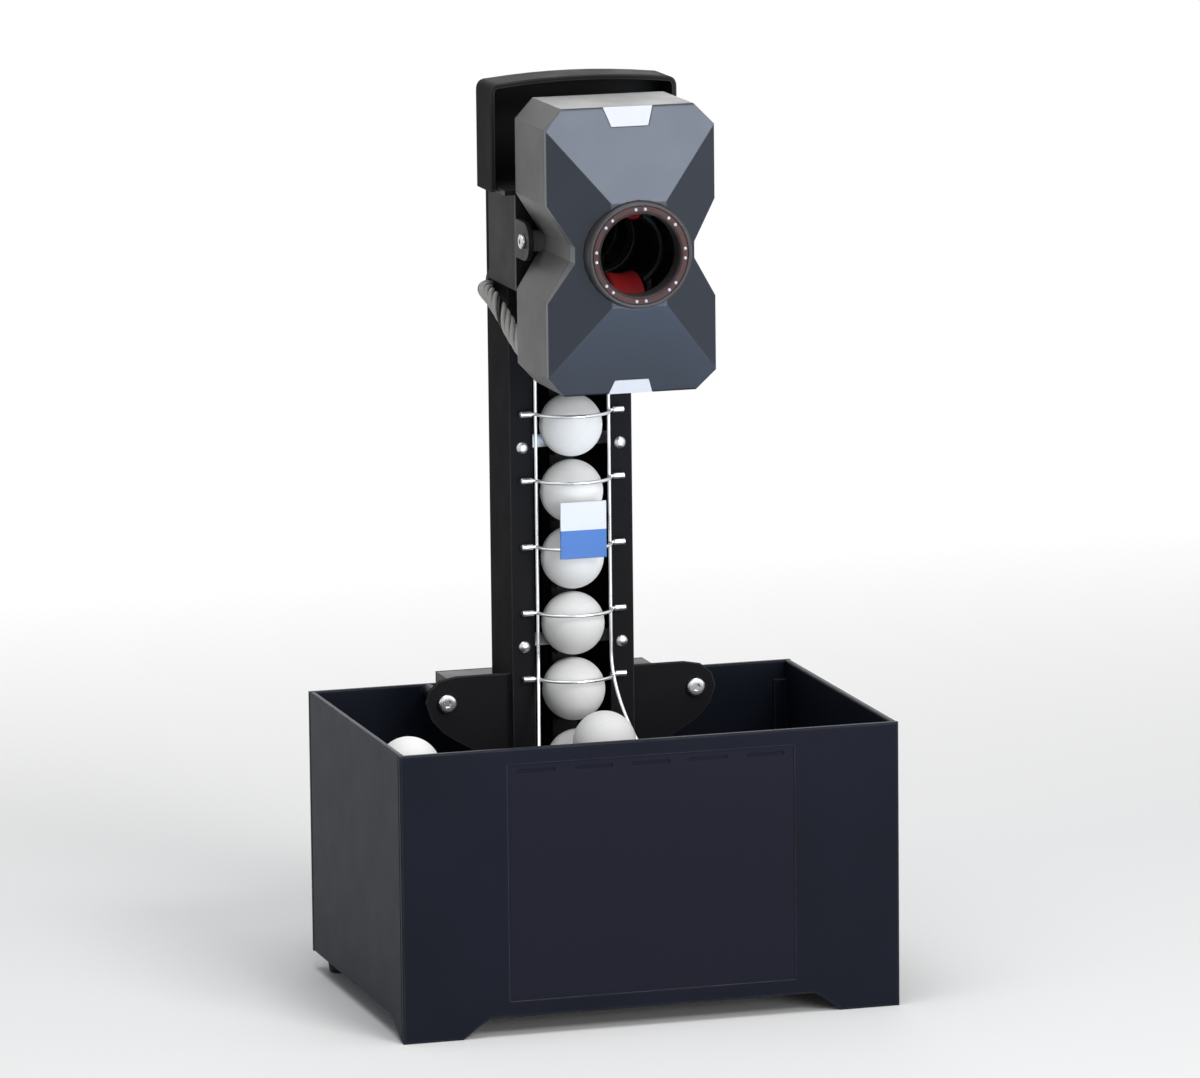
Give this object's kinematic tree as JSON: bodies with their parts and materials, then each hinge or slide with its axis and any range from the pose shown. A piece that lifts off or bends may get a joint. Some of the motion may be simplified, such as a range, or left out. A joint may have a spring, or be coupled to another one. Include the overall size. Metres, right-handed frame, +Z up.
{
  "type": "table tennis robot",
  "caption": "Ball bin with a belt lift in an upright mast and a swivelling, tilting two-wheel throwing head with a round nozzle.",
  "frame": {"origin": "on the table, under the middle of the box that holds the whole robot", "axes": "+Z up; the robot throws towards -Y; +X is to the right seen from the player it throws to"},
  "size_m": [0.32, 0.2518, 0.575],
  "materials": {
    "bin_navy": "glossy dark navy-black with lighter edges",
    "dark_sheet": "satin dark grey",
    "foot_rubber": "matt black",
    "black_plastic": "fine satin black",
    "circuit_board": "green board with dark parts",
    "grey_paint": "satin neutral grey",
    "hood_grey": "satin neutral grey",
    "slate_fairing": "semi-gloss dark slate blue-grey",
    "bright_steel": "bright zinc",
    "bright_wire": "bright wire",
    "belt_rubber": "matt dark grey",
    "tag_white": "white with a blue lower band",
    "ball_white": "white matt celluloid",
    "light_window": "clear white",
    "led_white": "small white lamps",
    "dark_barrel": "satin dark grey",
    "tyre_red": "matt red",
    "loom_grey": "pale grey cable strands twisted with a black one"
  },
  "bodies": {
    "stand": {"bin_front_panel": "bin_navy", "bin_left_panel": "bin_navy", "bin_right_panel": "bin_navy", "bin_back_panel": "bin_navy", "base_plate": "dark_sheet", "ball_tray": "dark_sheet", "front_left_foot": "foot_rubber", "front_right_foot": "foot_rubber", "rear_left_foot": "foot_rubber", "rear_right_foot": "foot_rubber", "rear_housing": "black_plastic", "rear_cover": "black_plastic", "power_inlet": "black_plastic", "switch_frame": "black_plastic", "feed_elbow": "black_plastic", "control_board": "circuit_board", "mast": "grey_paint", "head_bracket": "grey_paint", "left_ear_screw": "bright_steel", "right_ear_screw": "bright_steel", "belt_guide": "bright_steel", "lift_gearmotor": "bright_steel", "lower_yaw_pin": "bright_steel", "upper_yaw_pin": "bright_steel", "guide_cage": "bright_wire", "lift_belt": "belt_rubber", "tag_plate": "tag_white", "lifted_ball_1": "ball_white", "lifted_ball_2": "ball_white", "lifted_ball_3": "ball_white", "lifted_ball_4": "ball_white", "lifted_ball_5": "ball_white", "funnel_ball": "ball_white", "leaning_ball": "ball_white", "corner_ball": "ball_white", "cable_loom": "loom_grey"},
    "yoke": {"yoke_frame": "black_plastic", "hood": "hood_grey", "yaw_servo": "black_plastic"},
    "head": {"head_shell": "hood_grey", "nose_fairing": "slate_fairing", "upper_light_window": "light_window", "lower_light_window": "light_window", "nozzle_ring": "black_plastic", "led_ring": "led_white", "ball_barrel": "dark_barrel", "motor_frame": "grey_paint", "upper_wheel_motor": "bright_steel", "lower_wheel_motor": "bright_steel", "left_pivot_bolt": "bright_steel", "right_pivot_bolt": "bright_steel"},
    "upper_wheel": {"upper_wheel_hub": "black_plastic", "upper_wheel_tyre": "tyre_red"},
    "lower_wheel": {"lower_wheel_hub": "black_plastic", "lower_wheel_tyre": "tyre_red"},
    "upper_pulley_set": {"upper_pulley": "black_plastic", "upper_shaft": "bright_steel"},
    "lower_pulley_set": {"lower_pulley": "black_plastic", "lower_shaft": "bright_steel"},
    "rocker": {"power_rocker": "black_plastic"}
  },
  "joints": [
    {"name": "head_yaw", "type": "hinge", "parent": "stand", "child": "yoke", "pos_m": [0, 0.00614, 0.478], "axis": [0, 0, 1], "range_deg": [-20, 20], "deforming": ["cable_loom"]},
    {"name": "head_pitch", "type": "hinge", "parent": "yoke", "child": "head", "pos_m": [0, -0.02986, 0.478], "axis": [-1, 0, 0], "range_deg": [-10, 18]},
    {"name": "upper_wheel_spin", "type": "hinge", "parent": "head", "child": "upper_wheel", "pos_m": [0, -0.06786, 0.524], "axis": [1, 0, 0], "continuous": true},
    {"name": "lower_wheel_spin", "type": "hinge", "parent": "head", "child": "lower_wheel", "pos_m": [0, -0.06786, 0.432], "axis": [1, 0, 0], "continuous": true},
    {"name": "lower_pulley_spin", "type": "hinge", "parent": "stand", "child": "lower_pulley_set", "pos_m": [0, 0.07244, 0.07543], "axis": [1, 0, 0], "continuous": true},
    {"name": "upper_pulley_spin", "type": "hinge", "parent": "stand", "child": "upper_pulley_set", "pos_m": [0, 0.07244, 0.47], "axis": [1, 0, 0], "continuous": true},
    {"name": "power_rocker_tilt", "type": "hinge", "parent": "stand", "child": "rocker", "pos_m": [0.044, 0.12114, 0.036], "axis": [1, 0, 0], "range_deg": [0, 20]}
  ],
  "couplings": [
    {"joint": "upper_pulley_spin", "follows": "lower_pulley_spin", "ratio": 1}
  ]
}
